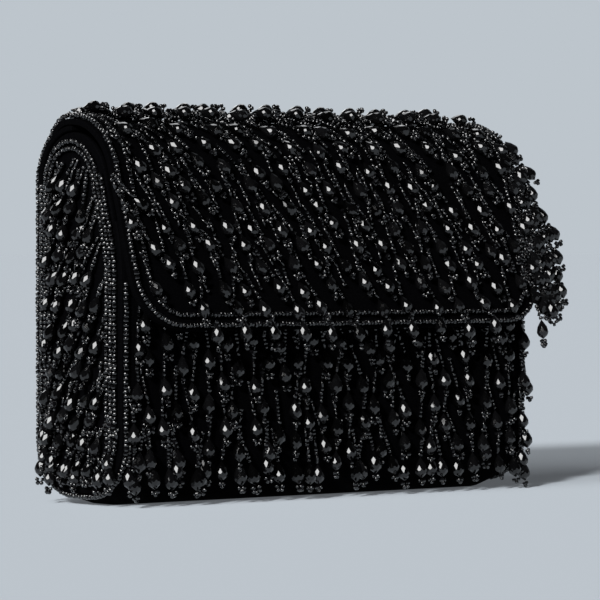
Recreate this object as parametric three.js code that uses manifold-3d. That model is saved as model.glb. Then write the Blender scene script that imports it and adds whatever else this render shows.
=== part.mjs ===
// A small black evening bag covered in hanging glass drops. One stiffened strip of cloth makes the front,
// the rounded base and the back, two side panels close it, and a flap sewn over the top of the back curves
// over the crown and down the front. Fields of drops cover the outside, and strings of seed beads run along
// the edges.
// Millimetres, +X to the right seen from the front, -Y towards the front, +Z up.
import * as THREE from 'three';
import { mergeVertices } from 'three/addons/utils/BufferGeometryUtils.js';
import Module from 'manifold-3d';

// Driving dimensions of the body
const BODY_WIDTH = 200;
const FRONT_Y = -26;
const BACK_Y = 27;
const BODY_TOP = 139.5;
const BASE_RADIUS = 21;
const FRONT_TOP_RADIUS = 23.4;
const BACK_TOP_RADIUS = 21.5;
const KNEE_RADIUS = 60;
const LEAN_DEG = 16.5;
const MOUTH_RISE = 4;
const WALL = 2.2;
const GAP = 0.3;

// How the soft side edges lift off the floor and draw in, against the distance from the edge
const SIDE_SOFTENING = [
  { fromEdge: 0, lift: 5, tuck: 1.2 },
  { fromEdge: 5, lift: 2.2, tuck: 0.4 },
  { fromEdge: 12, lift: 0, tuck: 0 },
];
const LIFT_FADES_AT = 40;

// Driving dimensions of the flap
const FLAP_BACK_DEG = 62;
const FLAP_LOWER_Z = 64;
const FLAP_CORNER = 20;

// Driving dimensions of the side panels
const GUSSET_SET_IN = 3.2;
const GUSSET_BULGE = 2.2;
const GUSSET_RIM = 2.1;

// Driving dimensions of the strings of seed beads
const SEED = 2.1;
const EDGE_ROW_IN = 1.4;
const FLAP_ROWS_APART = { sides: 5.4, below: 3.9 };
const BODY_ROW_TOP = 82;
const BODY_ROW_BACK_DEG = 50;
const BORDER_WIDTH = 7.1;
const BORDER_INSET = 6;
const BORDER_END_GAP = 0.5;

// Driving dimensions of a drop and of the cloth that carries a field of them
const FIELD_GAP = 0.6;
const FIELD_CLOTH = 0.6;
const DROP_WIDTH = 4.8;
const DROP_LENGTH = 8.6;
const DROP_STANDS = 4.2;
const STRAND = 1.7;
const FLAP_FIELD_MARGIN = 8.5;

// The fields: how many half columns lie each side of the middle, how many rows, and their steps
const BROAD_FIELD = { halfColumns: 13, stepAcross: 6.9, stepDown: 8.4 };
const FRONT_FIELD_TOP = 76;
const FRONT_FIELD_ROWS = 8;
const FLAP_FIELD_FROM = 3;
const FLAP_FIELD_ROWS = 11;
const BACK_FIELD = { halfColumns: 6, rows: 14, stepAcross: 15, stepDown: 9.1 };
const GUSSET_FIELD = { halfColumns: 3, rows: 11, stepAcross: 4.6, stepDown: 10.4 };
const GUSSET_FIELD_TOP = 129;

// Half of a hanging drop's outline from its foot to its tip, in drop widths out and drop lengths up
const HANGING_PROFILE = [
  { out: 0, up: 0 },
  { out: 0.2, up: 0 },
  { out: 0.5, up: 0.32 },
  { out: 0.16, up: 1 },
  { out: 0, up: 1 },
];

// Points round a drop's footprint and its flat table, in drop widths and lengths from its middle
const DROP_OUTLINE = [
  { across: 0, down: -0.53 },
  { across: 0.33, down: -0.14 },
  { across: 0.5, down: 0.21 },
  { across: 0, down: 0.47 },
  { across: -0.5, down: 0.21 },
  { across: -0.33, down: -0.14 },
];
const DROP_TABLE = [
  { across: 0, down: -0.17 },
  { across: 0.22, down: 0.22 },
  { across: -0.22, down: 0.22 },
];
// Facets of a drop, each three corners: o counts round the outline and t round the table
const DROP_FACETS = [
  ['o0', 'o1', 't0'],
  ['o1', 't1', 't0'],
  ['o1', 'o2', 't1'],
  ['o2', 'o3', 't1'],
  ['o3', 't2', 't1'],
  ['o3', 'o4', 't2'],
  ['o4', 'o5', 't2'],
  ['o5', 't0', 't2'],
  ['o5', 'o0', 't0'],
  ['t0', 't1', 't2'],
];
// The ground cloth of a cell between its four corners, left, up, right and down, and the drop's outline
const CELL_FACETS = [
  ['up', 'right', 'o0'],
  ['right', 'o1', 'o0'],
  ['right', 'o2', 'o1'],
  ['right', 'down', 'o2'],
  ['down', 'o3', 'o2'],
  ['down', 'o4', 'o3'],
  ['down', 'left', 'o4'],
  ['left', 'o5', 'o4'],
  ['left', 'o0', 'o5'],
  ['left', 'up', 'o0'],
];

// How finely round forms are cut
const ARC_STEP_DEG = 18;
const BORDER_STEP_DEG = 22.5;
const FLAP_ARC_STEPS = 6;
const FLAP_CORNER_STEPS = 4;
const STRING_SIDES = 6;
const STRAND_SIDES = 6;
const DROP_SIDES = 8;

const RADIANS = Math.PI / 180;
const MERGE_WITHIN = 1e-4;
const HALF_WIDTH = BODY_WIDTH / 2;
const CROWN_Y = BACK_Y - BACK_TOP_RADIUS;
const MIDDLE_Y = (FRONT_Y + BACK_Y) / 2;
const HALF_DEPTH = (BACK_Y - FRONT_Y) / 2;
const LEAN_ANGLE = 180 - LEAN_DEG;

const CLOTH = new THREE.MeshStandardMaterial({ color: 0x0c0c0e, roughness: 0.85, metalness: 0 });
const GLASS = new THREE.MeshStandardMaterial({ color: 0x08080a, roughness: 0.08, metalness: 0 });
const SEEDS = new THREE.MeshStandardMaterial({ color: 0x0a0a0c, roughness: 0.2, metalness: 0 });

const wasm = await Module();
wasm.setup();

// The point of an arc at an angle, moved outwards by an offset
function onArc(arc, angle, offset = 0) {
  const reach = arc.r + offset;
  return {
    y: arc.y + reach * Math.cos(angle * RADIANS),
    z: arc.z + reach * Math.sin(angle * RADIANS),
  };
}

// A corner of an outline whose two sides share one direction, as an arc of no radius
function cornerAt(point, angle) {
  return { y: point.y, z: point.z, r: 0, from: angle, to: angle };
}

// The height of the arc between the leaning and the upright front, on one line with the crown's arc
function kneeHeight(crown) {
  const cosine = Math.cos(LEAN_ANGLE * RADIANS);
  const sine = Math.sin(LEAN_ANGLE * RADIANS);
  const reach = crown.y * cosine + crown.z * sine + crown.r;
  return (reach - KNEE_RADIUS - (FRONT_Y + KNEE_RADIUS) * cosine) / sine;
}

// The body's cross-section: arcs joined by straight runs, from the crown over the front, base and back
const crownFront = {
  y: CROWN_Y,
  z: BODY_TOP - FRONT_TOP_RADIUS,
  r: FRONT_TOP_RADIUS,
  from: 90,
  to: LEAN_ANGLE,
};
const knee = {
  y: FRONT_Y + KNEE_RADIUS,
  z: kneeHeight(crownFront),
  r: KNEE_RADIUS,
  from: LEAN_ANGLE,
  to: 180,
};
const baseFront = { y: FRONT_Y + BASE_RADIUS, z: BASE_RADIUS, r: BASE_RADIUS, from: 180, to: 270 };
const baseBack = { y: BACK_Y - BASE_RADIUS, z: BASE_RADIUS, r: BASE_RADIUS, from: 270, to: 360 };
const crownBack = {
  y: CROWN_Y,
  z: BODY_TOP - BACK_TOP_RADIUS,
  r: BACK_TOP_RADIUS,
  from: 360,
  to: 450,
};
const bodyArcs = [crownFront, knee, baseFront, baseBack, crownBack];

// The direction along an outline where its outward direction is the angle
function alongAt(angle) {
  return { y: -Math.sin(angle * RADIANS), z: Math.cos(angle * RADIANS) };
}

// The front's top edge, a little way up the leaning run above the knee
function mouthCorner() {
  const from = onArc(knee, LEAN_ANGLE);
  const way = alongAt(LEAN_ANGLE);
  return cornerAt({ y: from.y - MOUTH_RISE * way.y, z: from.z - MOUTH_RISE * way.z }, LEAN_ANGLE);
}

// Points of an outline at an offset, with each arc cut into steps of about stepDeg
function outline(arcs, offset, stepDeg) {
  return arcs.flatMap((arc) => {
    const steps = Math.ceil((arc.to - arc.from) / stepDeg);
    return Array.from({ length: steps + 1 }, (_, k) => {
      const angle = arc.from + (steps ? ((arc.to - arc.from) * k) / steps : 0);
      return onArc(arc, angle, offset);
    });
  });
}

// A way along an outline by distance: at(s, offset) gives the point there
function track(arcs) {
  const legs = [];
  let total = 0;
  arcs.forEach((arc, i) => {
    if (i) {
      const from = onArc(arcs[i - 1], arcs[i - 1].to);
      const to = onArc(arc, arc.from);
      const length = Math.hypot(to.y - from.y, to.z - from.z);
      legs.push({ line: { from, to }, angle: arc.from, begins: total, length });
      total += length;
    }
    const length = arc.r * (arc.to - arc.from) * RADIANS;
    legs.push({ arc, begins: total, length });
    total += length;
  });
  const at = (s, offset = 0) => {
    const leg = legs.find((each) => s <= each.begins + each.length) ?? legs.at(-1);
    const part = leg.length ? (s - leg.begins) / leg.length : 0;
    if (leg.arc) {
      return onArc(leg.arc, leg.arc.from + (leg.arc.to - leg.arc.from) * part, offset);
    }
    const { from, to } = leg.line;
    return {
      y: from.y + (to.y - from.y) * part + offset * Math.cos(leg.angle * RADIANS),
      z: from.z + (to.z - from.z) * part + offset * Math.sin(leg.angle * RADIANS),
    };
  };
  return { at, length: total };
}

// Lift and tuck of the soft side edge at a place across the bag, between the rows of the table
function softeningAt(x) {
  const fromEdge = Math.max(0, HALF_WIDTH - Math.abs(x));
  const next = SIDE_SOFTENING.findIndex((row) => row.fromEdge > fromEdge);
  if (next < 0) {
    return SIDE_SOFTENING.at(-1);
  }
  const low = SIDE_SOFTENING[next - 1];
  const high = SIDE_SOFTENING[next];
  const part = (fromEdge - low.fromEdge) / (high.fromEdge - low.fromEdge);
  return {
    lift: low.lift + (high.lift - low.lift) * part,
    tuck: low.tuck + (high.tuck - low.tuck) * part,
  };
}

// A point of the straight body, moved to where the soft body has it
function softened(x, { y, z }) {
  const { lift, tuck } = softeningAt(x);
  const low = Math.max(0, 1 - z / LIFT_FADES_AT);
  return new THREE.Vector3(x, y - (tuck * (y - MIDDLE_Y)) / HALF_DEPTH, z + lift * low);
}

// A closed geometry from points and three-cornered faces, turned to face outwards
function closedGeometry(points, faces) {
  const volume = faces.reduce((sum, [a, b, c]) => {
    return sum + points[a].dot(new THREE.Vector3().crossVectors(points[b], points[c]));
  }, 0);
  const turned = volume < 0 ? faces.map(([a, b, c]) => [a, c, b]) : faces;
  const geometry = new THREE.BufferGeometry().setFromPoints(points);
  geometry.setIndex(turned.flat());
  return geometry;
}

// A wall between an outer and an inner grid of points with the same rows and columns
function wallGeometry(outer, inner) {
  const rows = outer.length;
  const columns = outer[0].length;
  const faces = [];
  const place = (side, i, j) => side * rows * columns + i * columns + j;
  const quad = (a, b, c, d) => faces.push([a, b, c], [a, c, d]);
  for (let i = 0; i < rows - 1; i++) {
    for (let j = 0; j < columns - 1; j++) {
      quad(place(0, i, j), place(0, i + 1, j), place(0, i + 1, j + 1), place(0, i, j + 1));
      quad(place(1, i, j), place(1, i, j + 1), place(1, i + 1, j + 1), place(1, i + 1, j));
    }
    const last = columns - 1;
    quad(place(0, i, 0), place(1, i, 0), place(1, i + 1, 0), place(0, i + 1, 0));
    quad(place(0, i, last), place(0, i + 1, last), place(1, i + 1, last), place(1, i, last));
  }
  for (let j = 0; j < columns - 1; j++) {
    const last = rows - 1;
    quad(place(0, 0, j), place(0, 0, j + 1), place(1, 0, j + 1), place(1, 0, j));
    quad(place(0, last, j), place(1, last, j), place(1, last, j + 1), place(0, last, j + 1));
  }
  return closedGeometry([...outer.flat(), ...inner.flat()], faces);
}

// A pillow-like panel through closed rings of points, flat at its first and last ring
function panelGeometry(rings) {
  const count = rings[0].length;
  const faces = [];
  for (let r = 0; r < rings.length - 1; r++) {
    for (let k = 0; k < count; k++) {
      const next = (k + 1) % count;
      const a = r * count + k;
      const b = r * count + next;
      faces.push([a, b, b + count], [a, b + count, a + count]);
    }
  }
  const flat = rings[0].map((point) => new THREE.Vector2(point.y, point.z));
  const lastRing = (rings.length - 1) * count;
  THREE.ShapeUtils.triangulateShape(flat, []).forEach(([a, b, c]) => {
    const way = new THREE.Vector2().subVectors(flat[b], flat[a]);
    const turn = way.cross(new THREE.Vector2().subVectors(flat[c], flat[a]));
    const [p, q] = turn > 0 ? [b, c] : [c, b];
    faces.push([a, q, p], [lastRing + a, lastRing + p, lastRing + q]);
  });
  return closedGeometry(rings.flat(), faces);
}

// A line through given points, for extruding a string of beads with a step at each point
class BeadLine extends THREE.Curve {
  constructor(points) {
    super();
    this.points = points;
  }

  getPointAt(part) {
    return this.points[Math.round(part * (this.points.length - 1))].clone();
  }

  getTangentAt(part) {
    const here = Math.round(part * (this.points.length - 1));
    const tangent = new THREE.Vector3();
    for (const from of [here - 1, here]) {
      if (from >= 0 && from + 1 < this.points.length) {
        tangent.add(this.points[from + 1].clone().sub(this.points[from]).normalize());
      }
    }
    return tangent.normalize();
  }
}

// A string or band of beads as a bar with flat sides along a line of points
function stringGeometry(points, width, height) {
  const corners = Array.from({ length: STRING_SIDES }, (_, k) => {
    const angle = ((k + 0.5) / STRING_SIDES) * 2 * Math.PI;
    return new THREE.Vector2((width / 2) * Math.cos(angle), (height / 2) * Math.sin(angle));
  });
  return new THREE.ExtrudeGeometry(new THREE.Shape(corners), {
    steps: points.length - 1,
    extrudePath: new BeadLine(points),
  });
}

// The strip that makes the front, base and back, with its soft side edges
function bodyWrap() {
  const arcs = [mouthCorner(), knee, baseFront, baseBack, crownBack];
  const across = SIDE_SOFTENING.map((row) => HALF_WIDTH - row.fromEdge);
  const columns = [...across.map((x) => -x), ...across.toReversed()];
  const grid = (offset) => {
    const points = outline(arcs, offset, ARC_STEP_DEG);
    return points.map((point) => columns.map((x) => softened(x, point)));
  };
  return wallGeometry(grid(0), grid(-WALL));
}

// A side panel with a rounded rim that stands a little proud of the strip's edge
function gusset(side) {
  const rimX = HALF_WIDTH - GUSSET_SET_IN;
  const ring = (inset, x) => {
    const points = outline(bodyArcs, -inset, ARC_STEP_DEG).slice(0, -1);
    return points.map((point) => softened(x, point).setX(side * x));
  };
  const inset = WALL + GAP;
  return panelGeometry([
    ring(inset + GUSSET_RIM, rimX + GUSSET_BULGE - WALL),
    ring(inset, rimX - WALL),
    ring(inset, rimX),
    ring(inset + GUSSET_RIM, rimX + GUSSET_BULGE),
  ]);
}

// The flap's inner face in cross-section: an arc over the crown, then a straight fall to the lower edge
const flapCrown = { ...crownFront, r: FRONT_TOP_RADIUS + GAP, from: FLAP_BACK_DEG };
function flapFoot() {
  const from = onArc(flapCrown, LEAN_ANGLE);
  const way = alongAt(LEAN_ANGLE);
  const fall = (FLAP_LOWER_Z - from.z) / way.z;
  return cornerAt({ y: from.y + fall * way.y, z: FLAP_LOWER_Z }, LEAN_ANGLE);
}
const flapTrack = track([flapCrown, flapFoot()]);
const flapStraight = flapTrack.length - FLAP_CORNER;

// A point of the flap: across it, down it from its back edge, and out from its inner face
function onFlap(x, down, offset) {
  const { y, z } = flapTrack.at(down, offset);
  return new THREE.Vector3(x, y, z);
}

// Half of the flap's outline drawn in by an inset at its side and below: down one side and round its
// lower corner
function flapSide(inset, below, from) {
  const arcLength = flapCrown.r * (LEAN_ANGLE - FLAP_BACK_DEG) * RADIANS;
  const rows = [];
  for (let k = 0; k <= FLAP_ARC_STEPS; k++) {
    rows.push({ x: HALF_WIDTH - inset, down: from + ((arcLength - from) * k) / FLAP_ARC_STEPS });
  }
  for (let k = 0; k <= FLAP_CORNER_STEPS; k++) {
    const turn = ((Math.PI / 2) * k) / FLAP_CORNER_STEPS;
    rows.push({
      x: HALF_WIDTH - FLAP_CORNER + (FLAP_CORNER - inset) * Math.cos(turn),
      down: flapStraight + (FLAP_CORNER - below) * Math.sin(turn),
    });
  }
  return rows;
}

function flap() {
  const rows = flapSide(0, 0, 0);
  const grid = (offset) => rows.map(({ x, down }) => [onFlap(-x, down, offset), onFlap(x, down, offset)]);
  return wallGeometry(grid(WALL), grid(0));
}

// A string of seed beads round the flap, in from its side edges and up from its lower edge
function flapEdging(inset, below) {
  const height = WALL + GAP + SEED / 2;
  const rows = flapSide(inset, below, EDGE_ROW_IN);
  const left = rows.map(({ x, down }) => onFlap(-x, down, height));
  const right = rows.map(({ x, down }) => onFlap(x, down, height)).toReversed();
  return stringGeometry([...left, ...right], SEED, SEED);
}

// The string of seed beads along one side edge of the strip, from under the flap to the top of the back
function bodyEdging(side) {
  const top = cornerAt({ y: FRONT_Y, z: BODY_ROW_TOP }, 180);
  const arcs = [top, baseFront, baseBack, { ...crownBack, to: 360 + BODY_ROW_BACK_DEG }];
  const x = side * (HALF_WIDTH - EDGE_ROW_IN);
  const points = outline(arcs, 2 * GAP + SEED / 2, ARC_STEP_DEG).map((point) => softened(x, point));
  return stringGeometry(points, SEED, SEED);
}

// The band of three rows of seed beads round a side panel, its ends meeting under the base
function gussetBorder(side) {
  const underside = (end) => cornerAt({ y: MIDDLE_Y + (end * BORDER_END_GAP) / 2, z: 0 }, 270);
  const over = [crownFront, knee, baseFront];
  const arcs = [underside(1), baseBack, crownBack, ...over, underside(-1)];
  const x = HALF_WIDTH - GUSSET_SET_IN + GUSSET_BULGE + GAP + SEED / 2;
  const middles = outline(arcs, -BORDER_INSET, BORDER_STEP_DEG);
  const points = middles.map((point) => softened(x, point).setX(side * x));
  const apart = points.filter((point, i) => !i || point.distanceTo(points[i - 1]) > GAP);
  return stringGeometry(apart, BORDER_WIDTH, SEED);
}

// A field of drops on a thin ground cloth. The drops stand on every other point of a grid of half columns
// and rows, and each has a diamond of cloth round it, cut in two at the field's edge. place(across, down,
// height) gives a point over the surface, and keeps(across, down) says where there is cloth.
function dropField({ halfColumns, rows, stepAcross, stepDown, place, keeps }) {
  const points = [];
  const faces = [];
  const underside = new Map();
  const known = new Map();
  const addPoint = (across, down, height) => points.push(place(across, down, height)) - 1;
  const corner = ([i, j]) => {
    const key = i + ' ' + j;
    if (!known.has(key)) {
      const top = addPoint(i * stepAcross, j * stepDown, FIELD_GAP + FIELD_CLOTH);
      known.set(key, top);
      underside.set(top, addPoint(i * stepAcross, j * stepDown, FIELD_GAP));
    }
    return known.get(key);
  };
  const isCloth = ([i, j]) => {
    return Math.abs(i) <= halfColumns && j >= 0 && j <= rows && keeps(i * stepAcross, j * stepDown);
  };
  const addDrop = (across, down, [left, up, right, below]) => {
    const named = { left, up, right, down: below };
    const addRing = (letter, ring, height) => {
      ring.forEach((spot, k) => {
        const x = across + spot.across * DROP_WIDTH;
        named[letter + k] = addPoint(x, down + spot.down * DROP_LENGTH, height);
      });
    };
    addRing('o', DROP_OUTLINE, FIELD_GAP + FIELD_CLOTH);
    addRing('t', DROP_TABLE, FIELD_GAP + FIELD_CLOTH + DROP_STANDS);
    [...DROP_FACETS, ...CELL_FACETS].forEach((facet) => faces.push(facet.map((name) => named[name])));
  };
  for (let j = 0; j <= rows; j++) {
    for (let i = -halfColumns; i <= halfColumns; i++) {
      const ring = [[i - 1, j], [i, j - 1], [i + 1, j], [i, j + 1]];
      const whole = ring.every(isCloth);
      const patch = ring.map((spot, k) => (isCloth(spot) || k % 2 ? spot : [i, j])).filter(isCloth);
      if ((i + j) % 2 || patch.length < 3) {
        continue;
      }
      const corners = patch.map(corner);
      for (let k = 1; k < corners.length - 1; k++) {
        const face = [corners[0], corners[k], corners[k + 1]];
        faces.push(face.map((each) => underside.get(each)).toReversed());
        if (!whole) {
          faces.push(face);
        }
      }
      if (whole) {
        addDrop(i * stepAcross, j * stepDown, corners);
      }
    }
  }
  addRim(faces, underside);
  return closedGeometry(points, faces);
}

// Joins the open edge of a field's top to the matching edge of its underside
function addRim(faces, underside) {
  const edges = faces.flatMap(([a, b, c]) => [[a, b], [b, c], [c, a]]);
  const taken = new Set(edges.map(([a, b]) => a + ' ' + b));
  for (const [a, b] of edges) {
    if (underside.has(a) && underside.has(b) && !taken.has(b + ' ' + a)) {
      faces.push([b, a, underside.get(a)], [b, underside.get(a), underside.get(b)]);
    }
  }
}

// A geometry as a solid that can be joined to others
function solidOf(geometry) {
  const bare = geometry.clone();
  bare.deleteAttribute('normal');
  bare.deleteAttribute('uv');
  const merged = mergeVertices(bare, MERGE_WITHIN);
  return new wasm.Manifold(
    new wasm.Mesh({
      numProp: 3,
      vertProperties: merged.getAttribute('position').array,
      triVerts: new Uint32Array(merged.index.array),
    }),
  );
}

// A joined solid as a geometry again
function geometryOf(solid) {
  const { vertProperties, triVerts, numProp } = solid.getMesh();
  const geometry = new THREE.BufferGeometry();
  geometry.setAttribute('position', new THREE.BufferAttribute(vertProperties, numProp));
  geometry.setIndex(new THREE.BufferAttribute(triVerts, 1));
  return geometry;
}

// The front's field, from under the flap straight down to the drops that hang clear of the rounded base
function frontDrops() {
  const top = cornerAt({ y: FRONT_Y, z: FRONT_FIELD_TOP }, 180);
  const front = track([top, cornerAt({ y: FRONT_Y, z: 0 }, 180)]);
  return dropField({
    ...BROAD_FIELD,
    rows: FRONT_FIELD_ROWS,
    place: (x, down, height) => softened(x, front.at(down, height)),
    keeps: () => true,
  });
}

// The back's field, from the curve below the flap's seam straight down to its lowest drops
function backDrops() {
  const back = track([cornerAt({ y: BACK_Y, z: 0 }, 360), { ...crownBack, to: 360 + BODY_ROW_BACK_DEG }]);
  return dropField({
    ...BACK_FIELD,
    place: (x, down, height) => softened(x, back.at(back.length - down, height)),
    keeps: () => true,
  });
}

// The flap's field inside its two strings of beads, with the row of drops that hangs below the flap's edge
function flapDrops() {
  const keeps = (x, down) => {
    const pastSide = Math.abs(x) - (HALF_WIDTH - FLAP_CORNER);
    const pastCorner = down + FLAP_FIELD_FROM - flapStraight;
    const beyond = Math.hypot(Math.max(0, pastSide), Math.max(0, pastCorner));
    return beyond <= FLAP_CORNER - FLAP_FIELD_MARGIN + GAP / 2;
  };
  const rows = FLAP_FIELD_ROWS;
  const stepDown = (flapTrack.length - FLAP_FIELD_MARGIN - FLAP_FIELD_FROM) / rows;
  const field = dropField({
    ...BROAD_FIELD,
    rows,
    stepDown,
    place: (x, down, height) => onFlap(x, FLAP_FIELD_FROM + down, WALL + height),
    keeps,
  });
  const lastRow = rows - 1;
  const joined = [];
  for (let i = -BROAD_FIELD.halfColumns + 1; i < BROAD_FIELD.halfColumns; i++) {
    const x = i * BROAD_FIELD.stepAcross;
    if ((i + lastRow) % 2 === 0 && keeps(x, rows * stepDown)) {
      joined.push(...hangingDrop(x, FLAP_FIELD_FROM + lastRow * stepDown));
    }
  }
  return geometryOf(joined.reduce((sum, each) => sum.add(solidOf(each)), solidOf(field)));
}

// A drop below the flap's edge, on a strand from a drop of the last row that lies over the edging
function hangingDrop(x, from) {
  const height = WALL + GAP + SEED + STRAND;
  const start = onFlap(x, from, height);
  const end = onFlap(x, flapTrack.length, height);
  const strand = new THREE.CylinderGeometry(STRAND / 2, STRAND / 2, start.distanceTo(end), STRAND_SIDES);
  const along = end.clone().sub(start).normalize();
  strand.applyQuaternion(new THREE.Quaternion().setFromUnitVectors(new THREE.Vector3(0, 1, 0), along));
  strand.translate(...start.clone().add(end).divideScalar(2).toArray());
  const profile = HANGING_PROFILE.map(({ out, up }) => {
    return new THREE.Vector2(out * DROP_WIDTH, (up - 1) * DROP_LENGTH);
  });
  const drop = new THREE.LatheGeometry(profile, DROP_SIDES);
  drop.rotateX(Math.PI / 2);
  drop.translate(end.x, end.y, end.z + STRAND / 2);
  return [strand, drop];
}

// A side panel's field inside its border of beads
function gussetDrops(side) {
  const x = HALF_WIDTH - GUSSET_SET_IN + GUSSET_BULGE;
  const margin = BORDER_INSET + BORDER_WIDTH / 2 + 2 * GAP;
  const edge = outline(bodyArcs, -margin, ARC_STEP_DEG).slice(0, -1);
  const keeps = (across, down) => {
    const y = across + MIDDLE_Y;
    const z = GUSSET_FIELD_TOP - down;
    return edge.every((point, k) => {
      const next = edge[(k + 1) % edge.length];
      return (next.y - point.y) * (z - point.z) - (next.z - point.z) * (y - point.y) >= 0;
    });
  };
  return dropField({
    ...GUSSET_FIELD,
    place: (across, down, height) => {
      const point = { y: across + MIDDLE_Y, z: GUSSET_FIELD_TOP - down };
      return softened(x, point).setX(side * (x + height));
    },
    keeps,
  });
}

// The bag, with its origin under the middle of its outer box
const bag = new THREE.Group();
function add(name, geometry, material) {
  const mesh = new THREE.Mesh(geometry, material);
  mesh.name = name;
  bag.add(mesh);
}
add('body_wrap', bodyWrap(), CLOTH);
add('flap', flap(), CLOTH);
add('flap_drops', flapDrops(), GLASS);
add('front_drops', frontDrops(), GLASS);
add('back_drops', backDrops(), GLASS);
const { sides, below } = FLAP_ROWS_APART;
add('flap_edging_outer', flapEdging(EDGE_ROW_IN, EDGE_ROW_IN), SEEDS);
add('flap_edging_inner', flapEdging(EDGE_ROW_IN + sides, EDGE_ROW_IN + below), SEEDS);
for (const [end, side] of [['left', -1], ['right', 1]]) {
  add('gusset_' + end, gusset(side), CLOTH);
  add('gusset_' + end + '_drops', gussetDrops(side), GLASS);
  add('gusset_' + end + '_border', gussetBorder(side), SEEDS);
  add('body_edging_' + end, bodyEdging(side), SEEDS);
}
const box = new THREE.Box3().setFromObject(bag);
const middle = box.getCenter(new THREE.Vector3());
for (const mesh of bag.children) {
  mesh.position.set(-middle.x, -middle.y, -box.min.z);
}

export default bag;
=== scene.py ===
"""Looks of a small black evening bag: cloth panels under strands of beads and faceted drops."""

import math
import random
from typing import NamedTuple

import bmesh
import bpy
import numpy as np
from mathutils import Matrix, Quaternion, Vector, noise


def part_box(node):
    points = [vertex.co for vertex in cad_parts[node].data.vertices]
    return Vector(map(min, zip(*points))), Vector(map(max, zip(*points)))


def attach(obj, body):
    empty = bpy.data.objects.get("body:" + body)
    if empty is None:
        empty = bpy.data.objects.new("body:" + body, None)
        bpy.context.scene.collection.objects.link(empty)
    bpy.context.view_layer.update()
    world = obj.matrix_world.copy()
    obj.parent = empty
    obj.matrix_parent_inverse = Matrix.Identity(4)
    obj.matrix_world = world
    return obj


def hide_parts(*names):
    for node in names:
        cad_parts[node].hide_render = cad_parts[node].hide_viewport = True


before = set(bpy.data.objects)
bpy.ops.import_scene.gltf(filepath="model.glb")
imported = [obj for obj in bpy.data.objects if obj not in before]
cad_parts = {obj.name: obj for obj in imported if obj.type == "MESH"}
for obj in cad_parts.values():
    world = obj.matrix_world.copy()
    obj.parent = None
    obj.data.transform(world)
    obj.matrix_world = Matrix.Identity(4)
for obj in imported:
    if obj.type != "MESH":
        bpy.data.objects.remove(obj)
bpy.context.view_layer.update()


def spread(low, high, step):
    """Even stations from low to high, about a step apart."""
    count = max(1, round((high - low) / step))
    return [low + (high - low) * k / count for k in range(count + 1)]


MM = 0.001
WRAP_LOW, WRAP_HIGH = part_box("body_wrap")

# Sizes of the body, as the part has them
HALF_WIDTH = WRAP_HIGH[0]
FRONT_Y = WRAP_LOW[1]
BACK_Y = WRAP_HIGH[1]
BODY_TOP = WRAP_HIGH[2]
BASE_RADIUS = 21 * MM
FRONT_TOP_RADIUS = 23.4 * MM
BACK_TOP_RADIUS = 21.5 * MM
KNEE_RADIUS = 60 * MM
LEAN_DEG = 16.5
MOUTH_RISE = 4 * MM
WALL = 2.2 * MM
GAP = 0.3 * MM
MIDDLE_Y = (FRONT_Y + BACK_Y) / 2
HALF_DEPTH = (BACK_Y - FRONT_Y) / 2
CROWN_Y = BACK_Y - BACK_TOP_RADIUS
LEAN_ANGLE = 180 - LEAN_DEG

# How the soft side edges lift off the floor and draw in, against the distance from the edge
SIDE_FROM_EDGE = [0, 5 * MM, 12 * MM]
SIDE_LIFT = [5 * MM, 2.2 * MM, 0]
SIDE_TUCK = [1.2 * MM, 0.4 * MM, 0]
LIFT_FADES_AT = 40 * MM

# Sizes of the flap and the side panels, as the part has them
FLAP_BACK_DEG = 62
FLAP_LOWER_Z = 64 * MM
FLAP_CORNER = 20 * MM
FLAP_TAPER_AT = [0, 3 * MM, 7 * MM]
FLAP_TAPER = [0.1, 0.6, 1]
GUSSET_SET_IN = 3.2 * MM
GUSSET_BULGE = 2.2 * MM
GUSSET_FACE = HALF_WIDTH - GUSSET_SET_IN + GUSSET_BULGE

# How finely the cloth is laid out, its soft edges, and the waves to a metre of its pucker
CLOTH_EDGE_STEP = 2 * MM
CLOTH_COLUMN_STEP = 5 * MM
BODY_CLOTH_STEP = 3 * MM
FLAP_CLOTH_STEP = 2.5 * MM
FLAP_CORNER_STEPS = 10
SOFT_EDGE = 0.7 * MM
SOFT_EDGE_STEPS = 3
PUCKER_WAVES = [(90, 1), (210, 0.5)]
BODY_PUCKER = 0.25 * MM
FLAP_PUCKER = 0.2 * MM
BASE_FLAT_UNTIL = BASE_RADIUS / 3

# Steps in from the rim of a side panel, each with its rise, that make it a pillow
GUSSET_RIM_POINTS = 96
GUSSET_PILLOW = [
    (0.4 * MM, 1 * MM),
    (0.6 * MM, 0.7 * MM),
    (1.1 * MM, 0.5 * MM),
    (4 * MM, 0.1 * MM),
    (6 * MM, 0.1 * MM),
]

# Rows of seed beads along the edges: how far in from the edge each one runs
EDGE_ROW_IN = 1.4 * MM
FLAP_ROWS_APART_SIDES = 5.4 * MM
FLAP_ROWS_APART_BELOW = 3.9 * MM
FLAP_ROW_STEPS = 60
FLAP_ROW_CORNER_STEPS = 12
BODY_ROW_TOP = 82 * MM
BODY_ROW_BACK_DEG = 50
SEAM_ROW_IN = 3.5 * MM
SEAM_ROW_TOP = 104 * MM
BORDER_ROWS_IN = [5.95 * MM, 8.45 * MM]

# The seed beads in these rows, with length and hole as parts of the width
SEED = 2.1 * MM
SEED_PITCH = 1.62 * MM
SEED_LENGTH = 0.76
SEED_HOLE = 0.17
SEED_ROUND = 5
SEED_SIDES = 8
SIDE_TOLERANCE = 0.1
EDGE_TILT = 0.09
EDGE_STRAY = 0.09 * MM
EDGE_SIZES = (0.93, 1.06)

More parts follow.
